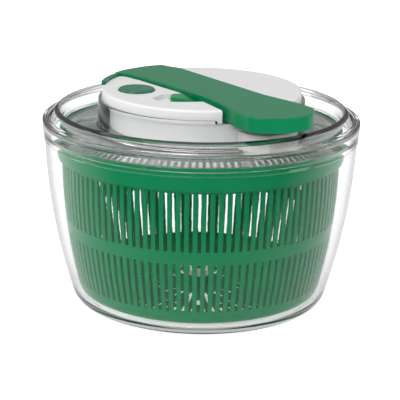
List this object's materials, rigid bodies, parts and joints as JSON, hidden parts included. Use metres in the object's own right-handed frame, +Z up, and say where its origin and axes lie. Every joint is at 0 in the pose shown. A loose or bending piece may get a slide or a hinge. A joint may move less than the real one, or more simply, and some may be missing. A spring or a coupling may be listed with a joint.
{
  "type": "salad spinner",
  "caption": "Lever-driven salad spinner: clear round bowl and lid, slotted green basket, white gear cover, folding green lever, brake button and lever lock.",
  "frame": {"origin": "centre of the bowl's foot, on the surface it stands on", "axes": "+Z up along the spindle; the lever's free end points between +X and -Y, 55 degrees from +X"},
  "size_m": [0.24, 0.24, 0.1665],
  "materials": {
    "clear_plastic": "clear, polished",
    "basket_green": "semi-gloss moulded",
    "lever_green": "satin moulded",
    "white_plastic": "satin moulded",
    "pale_plastic": "natural acetal",
    "steel": "stainless",
    "rubber": "matt"
  },
  "bodies": {
    "bowl": {"bowl": "clear_plastic"},
    "pivot_bush": {"pivot_bush": "pale_plastic"},
    "basket": {"basket": "basket_green"},
    "lid": {"lid": "clear_plastic", "gear_tray": "white_plastic", "cover": "white_plastic", "gear_bridge": "white_plastic", "bridge_screws": "steel", "lid_screws": "steel", "hinge_pin": "steel", "hinge_clips": "steel", "lever_spring": "steel", "spindle_bush": "pale_plastic", "brake_spring": "steel"},
    "lever": {"lever": "lever_green", "sector_gear": "pale_plastic", "sector_screws": "steel"},
    "cross_shaft": {"cross_shaft": "steel", "drive_pinion": "pale_plastic", "bevel_pinion": "pale_plastic"},
    "layshaft": {"layshaft": "steel", "bevel_gear": "pale_plastic", "layshaft_wheel": "pale_plastic"},
    "spindle": {"spindle": "steel", "spindle_pinion": "pale_plastic", "clutch_driver": "pale_plastic", "plate_washer": "steel", "plate_screw": "steel"},
    "drive_plate": {"drive_plate": "clear_plastic"},
    "brake": {"brake_button": "lever_green", "brake_shoe": "rubber"},
    "lock": {"lock_slider": "lever_green"}
  },
  "joints": [
    {"name": "basket_lift", "type": "slide", "parent": "bowl", "child": "pivot_bush", "axis": [0, 0, 1], "range_m": [0, 0.15]},
    {"name": "basket_spin", "type": "hinge", "parent": "pivot_bush", "child": "basket", "pos_m": [0, 0, 0.01], "axis": [0, 0, 1], "continuous": true},
    {"name": "lid_lift", "type": "slide", "parent": "pivot_bush", "child": "lid", "axis": [0, 0, 1], "range_m": [0, 0.15]},
    {"name": "lever_hinge", "type": "hinge", "parent": "lid", "child": "lever", "pos_m": [-0.03671, 0.05243, 0.16], "axis": [-0.8192, -0.5736, 0], "range_deg": [0, 38]},
    {"name": "cross_shaft_spin", "type": "hinge", "parent": "lid", "child": "cross_shaft", "pos_m": [-0.02016, 0.0288, 0.157], "axis": [-0.8192, -0.5736, 0], "range_deg": [-163, 0]},
    {"name": "layshaft_spin", "type": "hinge", "parent": "lid", "child": "layshaft", "pos_m": [-0.00624, 0.03855, 0.15], "axis": [0, 0, 1], "range_deg": [-163, 0]},
    {"name": "spindle_spin", "type": "hinge", "parent": "lid", "child": "spindle", "pos_m": [0, 0, 0.14], "axis": [0, 0, 1], "range_deg": [0, 630]},
    {"name": "drive_plate_spin", "type": "hinge", "parent": "lid", "child": "drive_plate", "pos_m": [0, 0, 0.128], "axis": [0, 0, 1], "continuous": true},
    {"name": "brake_press", "type": "slide", "parent": "lid", "child": "brake", "axis": [0, 0, -1], "range_m": [0, 0.003], "stiffness_N_per_m": 300, "springref_m": -0.004, "deforming": ["brake_spring"]},
    {"name": "lock_slide", "type": "slide", "parent": "lid", "child": "lock", "axis": [-1, 0, 0], "range_m": [0, 0.006]}
  ],
  "couplings": [
    {"joint": "cross_shaft_spin", "follows": "lever_hinge", "ratio": -4.2727},
    {"joint": "layshaft_spin", "follows": "lever_hinge", "ratio": -4.2727},
    {"joint": "spindle_spin", "follows": "lever_hinge", "ratio": 16.557},
    {"joint": "drive_plate_spin", "follows": "basket_spin", "ratio": 1}
  ]
}
